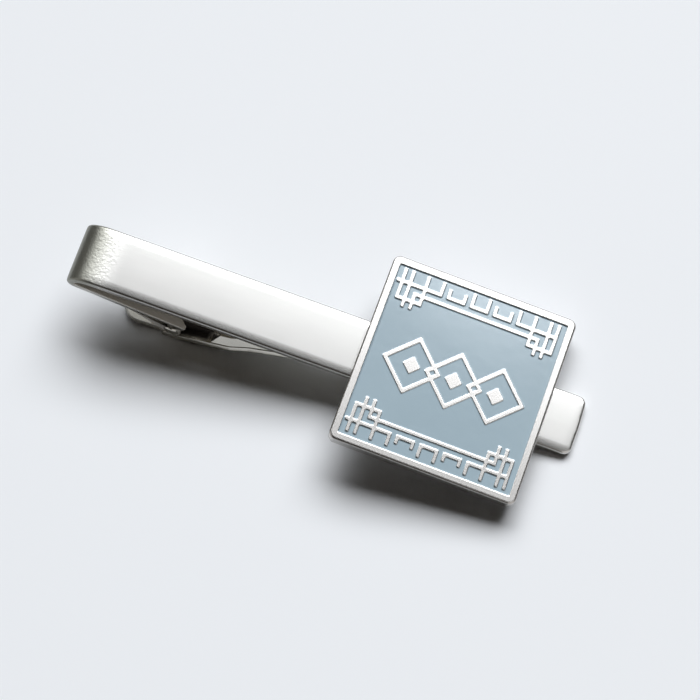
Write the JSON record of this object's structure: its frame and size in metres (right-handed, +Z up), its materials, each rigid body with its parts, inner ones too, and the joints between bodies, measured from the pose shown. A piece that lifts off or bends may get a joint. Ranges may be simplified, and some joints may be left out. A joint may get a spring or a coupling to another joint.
{
  "type": "tie clip",
  "caption": "Silver tie clip: a bent strip with a sprung toothed jaw behind it and a square enamel badge with a raised fret border soldered on its front.",
  "frame": {"origin": "centre of the clip's bounding box, on the ground, with the clip lying on its back on the lever's heel and the bar's tip", "axes": "+X from the bend towards the bar's tip, +Y across the bar, +Z up, out of the badge's face"},
  "size_m": [0.0526, 0.0204, 0.0096],
  "materials": {
    "satin_plating": "satin silver plate over bent strip, fine lengthwise brushing",
    "bright_plating": "bright nickel plate over pressed sheet",
    "spring_steel": "drawn spring wire",
    "badge_metal": "die-struck brass, satin silver plate, ground level on top",
    "enamel": "poured blue-grey enamel, glossy",
    "solder": "soft solder, dull silver"
  },
  "bodies": {
    "clip": {"clip_band": "satin_plating", "pivot_pin": "bright_plating", "torsion_spring": "spring_steel", "badge_plate": "badge_metal", "enamel_field": "enamel", "enamel_cells": "enamel", "solder_joint": "solder"},
    "lever": {"jaw_lever": "bright_plating"}
  },
  "joints": [
    {"name": "jaw_hinge", "type": "hinge", "parent": "clip", "child": "lever", "pos_m": [-0.01597, 0.00009, 0.00195], "axis": [0, 1, 0], "range_deg": [0, 24], "stiffness_Nm_per_rad": 0.2, "springref_deg": -0.11, "deforming": ["torsion_spring"]}
  ]
}
